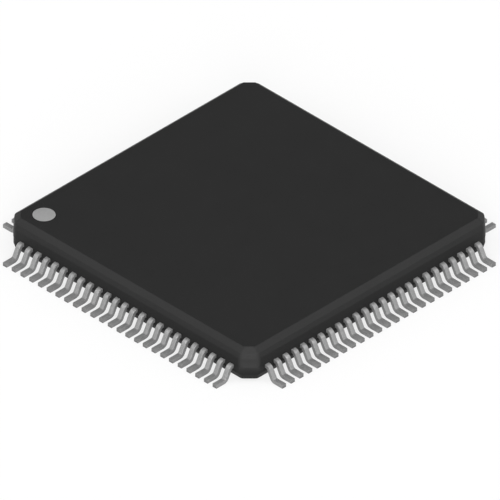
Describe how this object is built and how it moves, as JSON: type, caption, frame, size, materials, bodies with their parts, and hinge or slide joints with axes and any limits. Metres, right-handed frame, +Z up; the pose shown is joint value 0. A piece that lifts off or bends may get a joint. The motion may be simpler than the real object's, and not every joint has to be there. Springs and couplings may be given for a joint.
{
  "type": "quad flat pack chip",
  "caption": "Square surface-mount chip package: black moulded body with cut corners, a pale pin 1 mark, and gull-wing leads on all four sides, with die, paddle and bond wires inside.",
  "frame": {"origin": "middle of the seating plane, on which the feet of the leads rest", "axes": "+Z up out of the printed face; -X is the side of leads 1 to 25, -Y that of leads 26 to 50; the pin 1 mark is at the -X, +Y corner"},
  "size_m": [0.016, 0.016, 0.0016],
  "materials": {
    "mould_compound": "matt black moulded epoxy",
    "pale_mark": "matt pale grey",
    "tin_plated_lead": "matt tin plate over copper",
    "copper_alloy": "bare copper alloy",
    "die_bond": "cured bonding layer",
    "silicon": "polished silicon",
    "gold_wire": "bright gold"
  },
  "bodies": {
    "root": {"moulded_body": "mould_compound", "pin_1_mark": "pale_mark", "die_paddle": "copper_alloy", "die_attach": "die_bond", "silicon_die": "silicon", "leads_1_to_5": "tin_plated_lead", "leads_6_to_10": "tin_plated_lead", "leads_11_to_15": "tin_plated_lead", "leads_16_to_20": "tin_plated_lead", "leads_21_to_25": "tin_plated_lead", "leads_26_to_30": "tin_plated_lead", "leads_31_to_35": "tin_plated_lead", "leads_36_to_40": "tin_plated_lead", "leads_41_to_45": "tin_plated_lead", "leads_46_to_50": "tin_plated_lead", "leads_51_to_55": "tin_plated_lead", "leads_56_to_60": "tin_plated_lead", "leads_61_to_65": "tin_plated_lead", "leads_66_to_70": "tin_plated_lead", "leads_71_to_75": "tin_plated_lead", "leads_76_to_80": "tin_plated_lead", "leads_81_to_85": "tin_plated_lead", "leads_86_to_90": "tin_plated_lead", "leads_91_to_95": "tin_plated_lead", "leads_96_to_100": "tin_plated_lead", "bond_wires_1_to_25": "gold_wire", "bond_wires_26_to_50": "gold_wire", "bond_wires_51_to_75": "gold_wire", "bond_wires_76_to_100": "gold_wire"}
  },
  "joints": []
}
